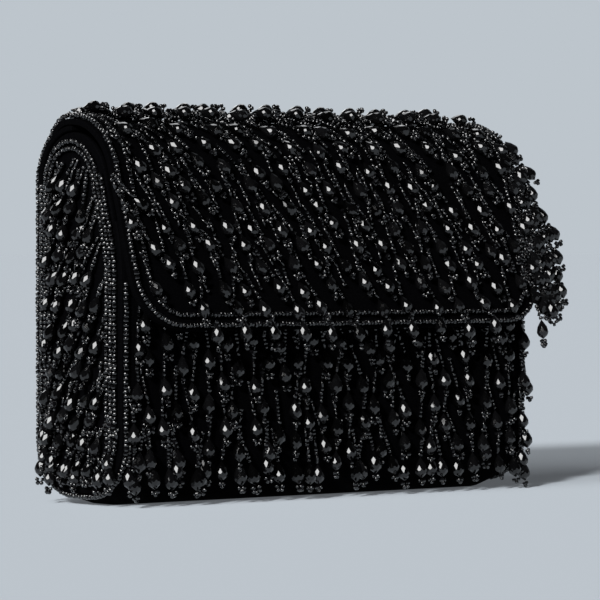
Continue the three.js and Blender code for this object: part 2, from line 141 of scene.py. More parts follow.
# Sizes of a drop, and the part of it that lies above its place
DROP_WIDTH = 4.8 * MM
DROP_LENGTH = 7.8 * MM
DROP_SIDES = 8
DROP_SIZES = (0.94, 1.05)
FRONT_DROP_SIZES = (0.98, 1.11)
DROP_ABOVE = 0.53

# Rows of facets cut round a drop: rise in degrees, turn in sides, and depth as a part of the ball
DROP_BALL = 0.475 * DROP_WIDTH
DROP_BELLY = 2.9 * MM
CUT_TOLERANCE = 0.01 * MM
DROP_FACETS = [
    (32, 0, 1.14),
    (20.5, 0.5, 1),
    (11, 0, 0.975),
    (-6, 0.5, 1),
    (-24, 0, 0.98),
    (-50, 0.5, 1),
]

# Sizes of the beads that a drop hangs on, and the heights over the cloth of drop and strand
STRAND_SEED = 1.75 * MM
STRAND_SEED_SIDES = 6
STRAND_PITCH = 1.45 * MM
BUGLE_WIDTH = 1.25 * MM
BUGLE_LENGTH = 3.1 * MM
BUGLE_SIDES = 6
BUGLE_LIP = 0.4
BUGLE_HOLLOW = 0.5
TIP_HEIGHT = 2.3 * MM
FOOT_HEIGHT = 3.2 * MM
ROOT_HEIGHT = 1.3 * MM

# Strands above a drop, from the drop upwards: s is a seed bead and b a bugle bead
STRAND_KINDS = ["sssssssss", "ssssbss", "sssbssb", "ssbssbs", "sbssssb", "bssbsss"]
STRAND_VEER = (1.8 * MM, 3.4 * MM)
STRAND_LIFT = 0.15 * MM
STRAND_SIZES = (0.92, 1.08)
STRAND_TOPS = {"flap": 2.5 * MM, "front": -12 * MM, "back": 2.5 * MM, "flap_fringe": -5 * MM}
BUGLE_TILT = 0.2
SEED_TILT = 0.12
HANG_STRAY = (0.5 * MM, 0.6 * MM)
HANG_LIFT = (-0.3 * MM, 0.5 * MM)
LOOP_COUNTS = [3, 3, 3, 4, 4, 5]
LOOP_SIZES = (0.92, 1.05)
LOOP_SLACK = 0.1 * MM

# The lattices on the front and the back: half columns each side of the middle, rows, and steps
DROPS_ACROSS = 6.9 * MM
FRONT_FIELD = {"half_columns": 14, "rows": range(1, 9), "across": DROPS_ACROSS, "down": 8.2 * MM}
FRONT_FIELD_TOP = 76 * MM
FRONT_FIELD_END = 66.8 * MM
FRONT_STRAY = (1.2 * MM, 1.6 * MM)
FRONT_LEAN = (2, 5)
FRONT_HEM_RISE = 5 * MM
FRONT_HEM_COLUMNS = range(-11, 12, 2)
BACK_FIELD = {"half_columns": 12, "rows": range(0, 15), "across": 7.5 * MM, "down": 8.7 * MM}
BACK_LEAN = (0, 5)

# The lattice on the flap, and how far its strands lean to the right by the distance down
FLAP_FIELD_FROM = 3 * MM
FLAP_FIELD_MARGIN = 7.5 * MM
FLAP_FIELD_ROWS = 13
FLAP_HALF_COLUMNS = 15
FLAP_STRAY = (1.2 * MM, 1 * MM)
COMB_AT = [0, 20 * MM, 33 * MM, 46 * MM, 105 * MM]
COMB_LEAN = [28, 34, 33, 22, 12]
COMB_SPREAD = 7

# The drops over the crown, which stand proud, and one more row sunk between them
CROWN_UNTIL = 22 * MM
CROWN_END = 84 * MM
CROWN_MIDDLE = 10 * MM
CROWN_COLUMNS = range(-13, 12)
CROWN_PROUD = 1.9 * MM
CROWN_SUNK = -0.8 * MM

# On the upper flap a drop takes the best of a few turns, so that most of them catch the light
GLINTS_UNTIL = 40 * MM
GLINT_TRIES = 3

# The drops over the flap's right edge, and how far they reach past it by the distance down
FLAP_OVERHANG_FROM = 33 * MM
FLAP_OVERHANG = spread(34 * MM, 94 * MM, 1.95 * MM)
OVERHANG_AT = [25 * MM, 45 * MM, 60 * MM, 72 * MM, 85 * MM]
OVERHANG_REACH = [0.5 * MM, 3.5 * MM, 9 * MM, 12 * MM, 9.5 * MM]
OVERHANG_APART = 3.2 * MM
OVERHANG_COLUMNS = 4
OVERHANG_DROOP = 0.25
OVERHANG_ROOT = 2 * MM
OVERHANG_LEAN = (8, 5)

# Strands sewn down between the flap's drops, and the row of drops below its edge
SEWN_KINDS = ["bsbsb", "sbsbss", "bssbs", "sbssb"]
SEWN_FROM = 25 * MM
SEWN_SHARE = 0.65
FRINGE_COLUMNS = range(-10, 11, 2)
FRINGE_DROP_AT = 2.6 * MM
FRINGE_LEAN = (3, 5)

# The lattice on a side panel, with longer strands in its top rows
GUSSET_FIELD = {"half_columns": 4, "rows": range(0, 14), "across": 3.8 * MM, "down": 8.6 * MM}
GUSSET_FIELD_TOP = 129 * MM
GUSSET_HANG = (2.5 * MM, 3.5 * MM)
GUSSET_STRAY = (0.6 * MM, 1.1 * MM)
GUSSET_LEAN = (23, 7)
GUSSET_LONG_UNTIL = 20 * MM
GUSSET_LONG = "bssbss"

# Drops in reach of no lattice, by panel: place across, place down and lean in degrees
STRAY_DROPS = {
    "flap": [
        (113 * MM, 63 * MM, 30),
        (99 * MM, 85 * MM, 8),
        (96 * MM, 92 * MM, 4),
        (103 * MM, 87 * MM, 8),
        (101.5 * MM, 91 * MM, 6),
        (105.5 * MM, 95.5 * MM, 6),
        (98 * MM, 96 * MM, 4),
        (100 * MM, 78 * MM, 8),
        (-98 * MM, 64 * MM, 8),
        (-93 * MM, 8 * MM, 24),
        (-83 * MM, 2 * MM, 20),
    ],
    "flap_fringe": [(94.5 * MM, 5 * MM, 2), (100 * MM, -4 * MM, 6)],
    "front": [
        (100 * MM, 36 * MM, 12),
        (92 * MM, 67.5 * MM, 6),
        (99 * MM, 57 * MM, 12),
        (98.5 * MM, 68.5 * MM, 8),
        (-94 * MM, 59 * MM, -6),
        (-98 * MM, 64.5 * MM, 0),
        (-88 * MM, 65.5 * MM, 4),
        (-79 * MM, 66 * MM, 2),
        (-67 * MM, 66.5 * MM, 0),
    ],
    "gusset_left": [
        (20.5 * MM, 104 * MM, 8),
        (20.5 * MM, 110 * MM, 6),
        (20.5 * MM, 116.5 * MM, 2),
        (15 * MM, 113 * MM, 10),
        (14.5 * MM, 118.5 * MM, 4),
        (7 * MM, 117 * MM, 8),
        (0, 118.5 * MM, 4),
        (-7 * MM, 116 * MM, 6),
        (-14 * MM, 118 * MM, 0),
        (-20 * MM, 112 * MM, 4),
        (-22 * MM, 118.5 * MM, 0),
    ],
    "gusset_right": [
        (21 * MM, 105 * MM, 12),
        (22 * MM, 116 * MM, 4),
        (12 * MM, 118 * MM, 6),
        (1 * MM, 118.5 * MM, 4),
        (-10 * MM, 118 * MM, 2),
        (-20 * MM, 117 * MM, 0),
    ],
}

# Where chance starts for each panel and each string of beads
CHANCE = {
    "front": 12,
    "back": 21,
    "flap": 31,
    "flap_fringe": 41,
    "gusset_left": 51,
    "gusset_right": 61,
    "flap_edge_beads": 71,
    "flap_inner_beads": 72,
    "body_edge_beads_left": 74,
    "body_edge_beads_right": 76,
    "border_beads_left": 84,
    "border_beads_right": 86,
}

# How the cloth looks: its weave, its lint, and its darkest and lightest black
WEAVE = {"Scale": 520.0, "Distortion": 1.2, "Detail": 1.0}
WEAVE_BUMP = {"Strength": 0.5, "Distance": 0.2 * MM}
WEAVE_ROUGHNESS = {"To_Min": 0.72, "To_Max": 0.95}
LINT = {"Scale": 900.0, "Detail": 4.0}
CLOTH_SHEEN = 0.008
CLOTH_DARK = (0.0002, 0.0002, 0.0003, 1)
CLOTH_LIGHT = (0.0007, 0.0007, 0.0008, 1)

# How the glass looks: the smears on it, its darkest and lightest black, and its roughness
SMEAR = {"Scale": 420.0, "Detail": 3.0, "Roughness": 0.6}
DROP_LOOK = {
    "ior": 1.57,
    "dark": (0.0002, 0.0002, 0.0002, 1),
    "light": (0.0011, 0.0011, 0.0012, 1),
    "polish": 0.02,
    "haze": 0.09,
}
SEED_LOOK = {
    "ior": 1.72,
    "dark": (0.0003, 0.0003, 0.0003, 1),
    "light": (0.0013, 0.0013, 0.0015, 1),
    "polish": 0.02,
    "haze": 0.08,
}

# The camera, the floor and the room, as the photo has them
CAMERA_AZIMUTH = -40.28
CAMERA_DISTANCE = 1.533
CAMERA_HEIGHT = 0.0954
CAMERA_PITCH = 0.78
CAMERA_LENS = 241.2
CAMERA_SENSOR = 36
CAMERA_SHIFT = 0.0048
CAMERA_SEES_TO = 200
FLOOR_RADIUS = 40
FLOOR_SIDES = 64
FLOOR_LOOK = {
    "Base Color": (0.2008, 0.2198, 0.2385, 1),
    "Roughness": 1.0,
    "Specular IOR Level": 0.0,
    "Emission Color": (0.1, 0.108, 0.118, 1),
    "Emission Strength": 0.9,
}
ROOM_PALE = (0.509, 0.558, 0.604, 1)
ROOM_DIM = (0.006, 0.006, 0.007, 1)

# What the glass mirrors behind the bag: colour, azimuth, rise, where it ends and where it is full
MIRRORED = [
    ((0.18, 0.195, 0.21, 1), CAMERA_AZIMUTH + 180, 0, 75, 37),
    ((2.3, 2.35, 2.4, 1), 158, 32, 24, 18),
]

# Each light: azimuth, rise, width and strength. The glass mirrors the broad one alone
LIGHTS = {"broad": (-72, 33, 37, 3.85), "sharp": (-59, 21.5, 6, 12)}


def towards(azimuth, rise):
    """The direction from the bag at an azimuth from the front and a rise, both in degrees."""
    turn = math.radians(azimuth)
    flat = math.cos(math.radians(rise))
    return Vector((math.sin(turn) * flat, -math.cos(turn) * flat, math.sin(math.radians(rise))))


class Arc(NamedTuple):
    """An arc of a cross-section, with the outward angles in degrees where it starts and ends."""

    y: float
    z: float
    radius: float
    start: float
    end: float

    def point(self, degrees, offset=0.0):
        reach = self.radius + offset
        turn = math.radians(degrees)
        return Vector((self.y + reach * math.cos(turn), self.z + reach * math.sin(turn)))


def corner_at(point, degrees):
    return Arc(point[0], point[1], 0.0, degrees, degrees)


class Section:
    """A cross-section of arcs joined by straight runs, walked by distance from its start."""

    STEP_DEG = 4

    def __init__(self, arcs, inset=0.0):
        points = []
        angles = []
        for arc in arcs:
            steps = math.ceil((arc.end - arc.start) / self.STEP_DEG)
            for k in range(steps + 1):
                angle = arc.start + (arc.end - arc.start) * k / max(steps, 1)
                points.append(arc.point(angle, -inset))
                angles.append(math.radians(angle))
        self.points = np.array(points)
        self.angles = np.array(angles)
        runs = np.linalg.norm(np.diff(self.points, axis=0), axis=1)
        self.along = np.concatenate([[0.0], np.cumsum(runs)])
        self.length = self.along[-1]

    def at(self, s, offset=0.0):
        y = np.interp(s, self.along, self.points[:, 0])
        z = np.interp(s, self.along, self.points[:, 1])
        angle = np.interp(s, self.along, self.angles)
        return y + offset * math.cos(angle), z + offset * math.sin(angle)


def knee_height(crown):
    """How high the front's knee sits, so that one straight line touches it and the crown."""
    cosine = math.cos(math.radians(LEAN_ANGLE))
    sine = math.sin(math.radians(LEAN_ANGLE))
    reach = crown.y * cosine + crown.z * sine + crown.radius
    return (reach - KNEE_RADIUS - (FRONT_Y + KNEE_RADIUS) * cosine) / sine


CROWN_FRONT = Arc(CROWN_Y, BODY_TOP - FRONT_TOP_RADIUS, FRONT_TOP_RADIUS, 90, LEAN_ANGLE)
KNEE = Arc(FRONT_Y + KNEE_RADIUS, knee_height(CROWN_FRONT), KNEE_RADIUS, LEAN_ANGLE, 180)
BASE_FRONT = Arc(FRONT_Y + BASE_RADIUS, BASE_RADIUS, BASE_RADIUS, 180, 270)
BASE_BACK = Arc(BACK_Y - BASE_RADIUS, BASE_RADIUS, BASE_RADIUS, 270, 360)
CROWN_BACK = Arc(CROWN_Y, BODY_TOP - BACK_TOP_RADIUS, BACK_TOP_RADIUS, 360, 450)
BODY_ARCS = [CROWN_FRONT, KNEE, BASE_FRONT, BASE_BACK, CROWN_BACK]
ALONG_LEAN = Vector((-math.sin(math.radians(LEAN_ANGLE)), math.cos(math.radians(LEAN_ANGLE))))


def flap_section():
    """The flap's inner face: an arc over the crown, then a straight fall to the lower edge."""
    crown = CROWN_FRONT._replace(radius=FRONT_TOP_RADIUS + GAP, start=FLAP_BACK_DEG)
    leaves = crown.point(LEAN_ANGLE)
    fall = (FLAP_LOWER_Z - leaves[1]) / ALONG_LEAN[1]
    return Section([crown, corner_at(leaves + fall * ALONG_LEAN, LEAN_ANGLE)])


def wrap_section():
    """The strip's outer face, from the front's top edge round the base to the top of the back."""
    mouth = KNEE.point(LEAN_ANGLE) - MOUTH_RISE * ALONG_LEAN
    return Section([corner_at(mouth, LEAN_ANGLE), KNEE, BASE_FRONT, BASE_BACK, CROWN_BACK])


FLAP = flap_section()
WRAP = wrap_section()
BACK = Section([corner_at((BACK_Y, 0), 360), CROWN_BACK._replace(end=360 + BODY_ROW_BACK_DEG)])
FLAP_STRAIGHT = FLAP.length - FLAP_CORNER
FLAP_DOWN = (FLAP.length - FLAP_FIELD_MARGIN - FLAP_FIELD_FROM) / (FLAP_FIELD_ROWS - 1)


def softened(x, y, z):
    """A point of the straight body, moved to where the soft body has it."""
    from_edge = max(0.0, HALF_WIDTH - abs(x))
    lift = np.interp(from_edge, SIDE_FROM_EDGE, SIDE_LIFT)
    tuck = np.interp(from_edge, SIDE_FROM_EDGE, SIDE_TUCK)
    low = max(0.0, 1 - z / LIFT_FADES_AT)
    return Vector((x, y - tuck * (y - MIDDLE_Y) / HALF_DEPTH, z + lift * low))


# Places over the panels: each takes a distance across, a distance down and a height over the cloth
def front_spot(across, down, height):
    z = FRONT_FIELD_TOP - down
    return Vector((across, softened(across, FRONT_Y - height, z).y, z))


def back_spot(across, down, height):
    return softened(-across, *BACK.at(BACK.length - down, height))


def flap_wall(down):
    return WALL * np.interp(down, FLAP_TAPER_AT, FLAP_TAPER)


def flap_spot(across, down, height):
    over = max(0.0, across - HALF_WIDTH)
    below = max(0.0, down - FLAP.length)
    y, z = FLAP.at(down, flap_wall(down) + height)
    y += below * ALONG_LEAN[0]
    z += below * ALONG_LEAN[1]
    return Vector((across, y, z - OVERHANG_DROOP * over))


def gusset_spot(side):
    def spot(across, down, height):
        z = GUSSET_FIELD_TOP - down
        y = softened(GUSSET_FACE, MIDDLE_Y + across, z).y
        return Vector((side * (GUSSET_FACE + height), y, z))

    return spot


# Materials
def add_node(tree, kind, **sockets):
    node = tree.nodes.new(kind)
    for name, value in sockets.items():
        node.inputs[name.replace("_", " ")].default_value = value
    return node


def shade_group():
    """Turns a bead's own tone into its colour, and a fine haze on it into its roughness."""
    group = bpy.data.node_groups.new("bead_shade", "ShaderNodeTree")
    face = group.interface
    for name, kind in [
        ("Tone", "NodeSocketFloat"),
        ("Dark", "NodeSocketColor"),
        ("Light", "NodeSocketColor"),
        ("Polish", "NodeSocketFloat"),
        ("Haze", "NodeSocketFloat"),
    ]:
        face.new_socket(name, in_out="INPUT", socket_type=kind)
    face.new_socket("Color", in_out="OUTPUT", socket_type="NodeSocketColor")
    face.new_socket("Roughness", in_out="OUTPUT", socket_type="NodeSocketFloat")
    given = group.nodes.new("NodeGroupInput")
    made = group.nodes.new("NodeGroupOutput")
    place = group.nodes.new("ShaderNodeTexCoord")
    smear = add_node(group, "ShaderNodeTexNoise", **SMEAR)
    color = group.nodes.new("ShaderNodeMix")
    color.data_type = "RGBA"
    rough = group.nodes.new("ShaderNodeMix")
    link = group.links.new
    link(place.outputs["Object"], smear.inputs["Vector"])
    link(given.outputs["Tone"], color.inputs["Factor"])
    link(given.outputs["Dark"], color.inputs["A"])
    link(given.outputs["Light"], color.inputs["B"])
    link(smear.outputs["Fac"], rough.inputs["Factor"])
    link(given.outputs["Polish"], rough.inputs["A"])
    link(given.outputs["Haze"], rough.inputs["B"])
    link(color.outputs["Result"], made.inputs["Color"])
    link(rough.outputs["Result"], made.inputs["Roughness"])
    return group


def glass_material(name, group, ior, dark, light, polish, haze):
    material = bpy.data.materials.new(name)
    material.use_nodes = True
    tree = material.node_tree
    shader = tree.nodes["Principled BSDF"]
    shader.inputs["IOR"].default_value = ior
    tone = tree.nodes.new("ShaderNodeAttribute")
    tone.attribute_name = "tone"
    shade = tree.nodes.new("ShaderNodeGroup")
    shade.node_tree = group
    shade.inputs["Dark"].default_value = dark
    shade.inputs["Light"].default_value = light
    shade.inputs["Polish"].default_value = polish
    shade.inputs["Haze"].default_value = haze
    tree.links.new(tone.outputs["Fac"], shade.inputs["Tone"])
    tree.links.new(shade.outputs["Color"], shader.inputs["Base Color"])
    tree.links.new(shade.outputs["Roughness"], shader.inputs["Roughness"])
    return material


def cloth_material():
    """Black cloth with a fine plain weave along its own threads and a little lint."""
    material = bpy.data.materials.new("black_cloth")
    material.use_nodes = True
    tree = material.node_tree
    shader = tree.nodes["Principled BSDF"]
    shader.inputs["Specular IOR Level"].default_value = CLOTH_SHEEN
    place = tree.nodes.new("ShaderNodeUVMap")
    place.uv_map = "threads"
    link = tree.links.new
    waves = []
    for direction in ("X", "Y"):
        wave = add_node(tree, "ShaderNodeTexWave", **WEAVE)
        wave.bands_direction = direction
        link(place.outputs["UV"], wave.inputs["Vector"])
        waves.append(wave)
    weave = tree.nodes.new("ShaderNodeMath")
    weave.operation = "MULTIPLY"
    link(waves[0].outputs["Fac"], weave.inputs[0])
    link(waves[1].outputs["Fac"], weave.inputs[1])
    bump = add_node(tree, "ShaderNodeBump", **WEAVE_BUMP)
    link(weave.outputs["Value"], bump.inputs["Height"])
    link(bump.outputs["Normal"], shader.inputs["Normal"])
    lint = add_node(tree, "ShaderNodeTexNoise", **LINT)
    link(place.outputs["UV"], lint.inputs["Vector"])
    color = tree.nodes.new("ShaderNodeMix")
    color.data_type = "RGBA"
    color.inputs["A"].default_value = CLOTH_DARK
    color.inputs["B"].default_value = CLOTH_LIGHT
    link(lint.outputs["Fac"], color.inputs["Factor"])
    link(color.outputs["Result"], shader.inputs["Base Color"])
    rough = add_node(tree, "ShaderNodeMapRange", **WEAVE_ROUGHNESS)
    link(weave.outputs["Value"], rough.inputs["Value"])
    link(rough.outputs["Result"], shader.inputs["Roughness"])
    return material


SHADE = shade_group()
CLOTH = cloth_material()
DROP_GLASS = glass_material("drop_glass", SHADE, **DROP_LOOK)
SEED_GLASS = glass_material("seed_glass", SHADE, **SEED_LOOK)


# Shapes of single beads, each standing along its thread
class Shape(NamedTuple):
    """A bead's points, edges and faces, with which edges are sharp and which faces are smooth."""

    points: np.ndarray
    edges: np.ndarray
    sharp: np.ndarray
    corners: np.ndarray
    sides: np.ndarray
    sizes: np.ndarray
    smooth: np.ndarray


def shape_of(bm):
    bm.verts.index_update()
    bm.edges.index_update()
    points = np.array([vert.co for vert in bm.verts])
    edges = np.array([[vert.index for vert in edge.verts] for edge in bm.edges])
    sharp = np.array([not edge.smooth for edge in bm.edges])
    corners = np.array([loop.vert.index for face in bm.faces for loop in face.loops])
    sides = np.array([loop.edge.index for face in bm.faces for loop in face.loops])
    sizes = np.array([len(face.verts) for face in bm.faces])
    smooth = np.array([face.smooth for face in bm.faces])
    bm.free()
    return Shape(points, edges, sharp, corners, sides, sizes, smooth)


def drop_shape():
    """A drop with its foot at the origin, cut like a stone in rows of flat facets round a ball."""
    bm = bmesh.new()
    middle = Matrix.Translation((0, 0, DROP_LENGTH / 2))
    bmesh.ops.create_cone(
        bm,
        cap_ends=True,
        segments=DROP_SIDES,
        radius1=DROP_WIDTH,
        radius2=DROP_WIDTH,
        depth=DROP_LENGTH,
        matrix=middle,
    )
    for rise, turn, depth in DROP_FACETS:
        for k in range(DROP_SIDES):
            outward = towards(360 * (k + turn) / DROP_SIDES, rise)
            cut = bmesh.ops.bisect_plane(
                bm,
                geom=bm.verts[:] + bm.edges[:] + bm.faces[:],
                dist=CUT_TOLERANCE,
                plane_co=Vector((0, 0, DROP_BELLY)) + outward * DROP_BALL * depth,
                plane_no=outward,
                clear_outer=True,
            )
            rim = [part for part in cut["geom_cut"] if isinstance(part, bmesh.types.BMEdge)]
            bmesh.ops.holes_fill(bm, edges=rim, sides=0)
    bmesh.ops.recalc_face_normals(bm, faces=bm.faces)
    return shape_of(bm)


def seed_shape(width, sides):
    """A seed bead, a short ring about its thread hole with a soft cut along every other side."""
    hole = SEED_HOLE * width
    wall = width / 2 - hole
    bm = bmesh.new()
    stretched = Matrix.Diagonal((1, SEED_LENGTH * width / wall, 1, 1))
    upright = Matrix.Rotation(math.pi / 2, 4, "X")
    place = Matrix.Translation((hole + wall / 2, 0, 0)) @ upright @ stretched
    bmesh.ops.create_circle(bm, segments=SEED_ROUND, radius=wall / 2, matrix=place)
    bmesh.ops.spin(
        bm,
        geom=bm.verts[:] + bm.edges[:],
        axis=(0, 0, 1),
        cent=(0, 0, 0),
        angle=2 * math.pi,
        steps=sides,
        use_merge=True,
    )
    bmesh.ops.recalc_face_normals(bm, faces=bm.faces)
    for face in bm.faces:
        face.smooth = True
    for edge in bm.edges:
        turns = [math.atan2(vert.co.y, vert.co.x) * sides / (2 * math.pi) for vert in edge.verts]
        along = abs(turns[0] - turns[1]) < SIDE_TOLERANCE
        edge.smooth = not (along and round(turns[0]) % 2 == 0)
    return shape_of(bm)


def bugle_shape():
    """A bugle bead, a thin round tube with a recessed thread hole at each end."""
    bm = bmesh.new()
    radius = BUGLE_WIDTH / 2
    bmesh.ops.create_cone(
        bm,
        cap_ends=True,
        segments=BUGLE_SIDES,
        radius1=radius,
        radius2=radius,
        depth=BUGLE_LENGTH,
    )
    ends = []
    for face in bm.faces:
        face.smooth = len(face.verts) != BUGLE_SIDES
        if not face.smooth:
            ends.append(face)
    bmesh.ops.inset_individual(bm, faces=ends, thickness=radius * BUGLE_LIP, depth=0)
    bmesh.ops.inset_individual(bm, faces=ends, thickness=0, depth=-radius * BUGLE_HOLLOW)
    return shape_of(bm)


def catches_light(matrix):
    """How nearly the best facet of a drop sends the broad light to the camera."""
    turn = matrix.to_3x3().normalized()
    return max((turn @ facet).dot(GLINT_FACING) for facet in DROP_FACINGS)


DROP_SHAPE = drop_shape()
DROP_FACINGS = [
    towards(360 * (k + turn) / DROP_SIDES, rise)
    for rise, turn, depth in DROP_FACETS
    for k in range(DROP_SIDES)
]
GLINT_FACING = (towards(CAMERA_AZIMUTH, CAMERA_PITCH) + towards(*LIGHTS["broad"][:2])).normalized()
EDGE_SEED_SHAPE = seed_shape(SEED, SEED_SIDES)
STRAND_SEED_SHAPE = seed_shape(STRAND_SEED, STRAND_SEED_SIDES)
BUGLE_SHAPE = bugle_shape()


# Pieces
def add_piece(name, mesh, material, replaced=()):
    piece = bpy.data.objects.new(name, mesh)
    bpy.context.scene.collection.objects.link(piece)
    mesh.materials.append(material)
    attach(piece, "root")
    if replaced:
        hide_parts(*replaced)
    return piece


def beads_mesh(name, shape, matrices, seed):
    """One mesh of a bead at every matrix, with a tone of its own for each bead."""
    turns = np.array([np.array(matrix) for matrix in matrices])
    count = len(turns)
    points = np.einsum("kij,nj->kni", turns[:, :3, :3], shape.points) + turns[:, None, :3, 3]
    first_points = np.arange(count)[:, None] * len(shape.points)
    first_edges = np.arange(count)[:, None] * len(shape.edges)
    starts = np.cumsum(np.tile(shape.sizes, count)) - np.tile(shape.sizes, count)
    mesh = bpy.data.meshes.new(name)
    mesh.vertices.add(count * len(shape.points))
    mesh.vertices.foreach_set("co", points.ravel())
    mesh.edges.add(count * len(shape.edges))
    mesh.edges.foreach_set("vertices", (first_points + shape.edges.ravel()).ravel())
    mesh.edges.foreach_set("use_edge_sharp", np.tile(shape.sharp, count))
    mesh.loops.add(count * len(shape.corners))
    mesh.loops.foreach_set("vertex_index", (first_points + shape.corners).ravel())
    mesh.loops.foreach_set("edge_index", (first_edges + shape.sides).ravel())
    mesh.polygons.add(len(starts))
    mesh.polygons.foreach_set("loop_start", starts)
    mesh.polygons.foreach_set("use_smooth", np.tile(shape.smooth, count))
    tones = np.random.default_rng(seed).random(count)
    tone = mesh.attributes.new("tone", "FLOAT", "POINT")
    tone.data.foreach_set("value", np.repeat(tones, len(shape.points)))
    mesh.update()
    mesh.validate()
    return mesh


def jitter(chance, amount):
    return Vector([chance.gauss(0, amount) for _ in range(3)])


def threaded(place, along, chance, size):
    """Where a bead goes on its thread, turned round the thread by chance."""
    turn = along.to_track_quat("Z", "Y") @ Quaternion((0, 0, 1), chance.uniform(0, 2 * math.pi))
    return Matrix.LocRotScale(place, turn, Vector((size, size, size)))


class Strands:
    """The drops, seed beads and bugle beads of one panel, gathered before they become meshes."""

    def __init__(self, panel, spot, top=None, sizes=DROP_SIZES):
        self.panel = panel
        self.spot = spot
        self.top = top or self.level_top
        self.sizes = sizes
        self.chance = random.Random(CHANCE[panel])
        self.drops = []
        self.seeds = []
        self.bugles = []

    def level_top(self, across):
        """How far down a strand may start, the same all across the panel."""
        return STRAND_TOPS[self.panel]

    def leaning_line(self, across, down, lean_deg):
        """Places along a line that leans over the panel, and whether the panel reaches as far."""
        lean = math.radians(lean_deg)

        def at(t, height, aside=0.0):
            return self.spot(across + aside + t * math.sin(lean), down + t * math.cos(lean), height)

        def room(t):
            return down + t * math.cos(lean) > self.top(across + t * math.sin(lean))

        return at, room

    def sew(self, across, down, lean_deg):
        """A strand without a drop, sewn down along its length."""
        at, room = self.leaning_line(across, down, lean_deg)
        self.string_up(self.chance.choice(SEWN_KINDS), at, room, 0.0, ROOT_HEIGHT, 0.0)

    def hang(self, across, down, lean_deg, proud=0.0, veer=None, tries=1, longer=""):
        """A drop lying at a place, with its strand above it and its loop of beads below."""
        chance = self.chance
        across += chance.gauss(0, HANG_STRAY[0])
        down += chance.gauss(0, HANG_STRAY[1])
        lift = proud + chance.uniform(*HANG_LIFT)
        at, room = self.leaning_line(across, down, lean_deg)
        size = chance.uniform(*self.sizes)
        top = -DROP_ABOVE * DROP_LENGTH * size
        end = (1 - DROP_ABOVE) * DROP_LENGTH * size
        foot = at(end, FOOT_HEIGHT + lift)
        tip = at(top, TIP_HEIGHT + lift)
        turns = [threaded(foot, tip - foot, chance, size) for _ in range(tries)]
        self.drops.append(max(turns, key=catches_light))
        if veer is None:
            veer = chance.choice([-1, 1]) * chance.uniform(*STRAND_VEER)
        kind = chance.choice(STRAND_KINDS) + longer
        self.string_up(kind, at, room, top, TIP_HEIGHT + lift, veer)
        self.loop_below(foot, foot - tip, chance.choice(LOOP_COUNTS))

    def hang_strays(self):
        for stray in STRAY_DROPS[self.panel]:
            self.hang(*stray)

    def string_up(self, kind, at, room, top, tip_height, veer):
        """The beads from a drop's tip up to the strand's root, veering past the drop above."""
        chance = self.chance
        lengths = [BUGLE_LENGTH if bead == "b" else STRAND_PITCH for bead in kind]
        total = sum(lengths)
        aside = veer / total
        gone = 0.0
        for bead, length in zip(kind, lengths):
            middle = gone + length / 2
            gone += length
            if not room(top - gone):
                break
            height = tip_height + (ROOT_HEIGHT - tip_height) * middle / total
            lift = chance.uniform(-STRAND_LIFT, STRAND_LIFT)
            place = at(top - middle, height + lift, aside * middle)
            below = at(top - gone + length, height, aside * (gone - length))
            along = at(top - gone, height, aside * gone) - below
            tilt = jitter(chance, BUGLE_TILT if bead == "b" else SEED_TILT)
            way = along.normalized() + tilt
            matrix = threaded(place, way, chance, chance.uniform(*STRAND_SIZES))
            (self.bugles if bead == "b" else self.seeds).append(matrix)

    def loop_below(self, foot, away, count):
        """A small loop of seed beads that ends a strand."""
        chance = self.chance
        away = away.normalized()
        side = away.orthogonal().normalized()
        side.rotate(Quaternion(away, chance.uniform(0, 2 * math.pi)))
        radius = (count + 1) * STRAND_PITCH / (2 * math.pi)
        middle = foot + away * (radius + LOOP_SLACK)
        for k in range(1, count + 1):
            turn = 2 * math.pi * k / (count + 1)
            out = -away * math.cos(turn) + side * math.sin(turn)
            along = away * math.sin(turn) + side * math.cos(turn)
            size = chance.uniform(*LOOP_SIZES)
            self.seeds.append(threaded(middle + out * radius, along, chance, size))

    def dress(self, *replaced):
        """Makes the three pieces of the panel, whose drops replace what the part has there."""
        seed = CHANCE[self.panel]
        drops = beads_mesh(self.panel + "_glass_drops", DROP_SHAPE, self.drops, seed)
        add_piece(drops.name, drops, DROP_GLASS, replaced)
        seeds = beads_mesh(self.panel + "_strand_beads", STRAND_SEED_SHAPE, self.seeds, seed + 1)
        add_piece(seeds.name, seeds, SEED_GLASS)
        bugles = beads_mesh(self.panel + "_bugle_beads", BUGLE_SHAPE, self.bugles, seed + 2)
        add_piece(bugles.name, bugles, SEED_GLASS)


def lattice(half_columns, rows, across, down):
    """Every other point of a grid of half columns and rows."""
    for j in rows:
        for i in range(-half_columns, half_columns + 1):
            if (i + j) % 2 == 0:
                yield i * across, j * down


def front_strands():
    """The drops on the front, with a hem of drops between the lowest ones."""
    strands = Strands("front", front_spot, sizes=FRONT_DROP_SIZES)
    chance = strands.chance
    for across, down in lattice(**FRONT_FIELD):
        aside = chance.gauss(0, FRONT_STRAY[0])
        rise = abs(FRONT_FIELD_END - down - chance.gauss(0, FRONT_STRAY[1]))
        strands.hang(across + aside, FRONT_FIELD_END - rise, chance.gauss(*FRONT_LEAN))
    for i in FRONT_HEM_COLUMNS:
        across = i * DROPS_ACROSS + chance.gauss(0, FRONT_STRAY[0])
        rise = chance.uniform(0, FRONT_HEM_RISE)
        strands.hang(across, FRONT_FIELD_END - rise, chance.gauss(*FRONT_LEAN))
    strands.hang_strays()
    strands.dress("front_drops")


def back_strands():
    strands = Strands("back", back_spot)
    for across, down in lattice(**BACK_FIELD):
        strands.hang(across, down, strands.chance.gauss(*BACK_LEAN))
    strands.dress("back_drops")


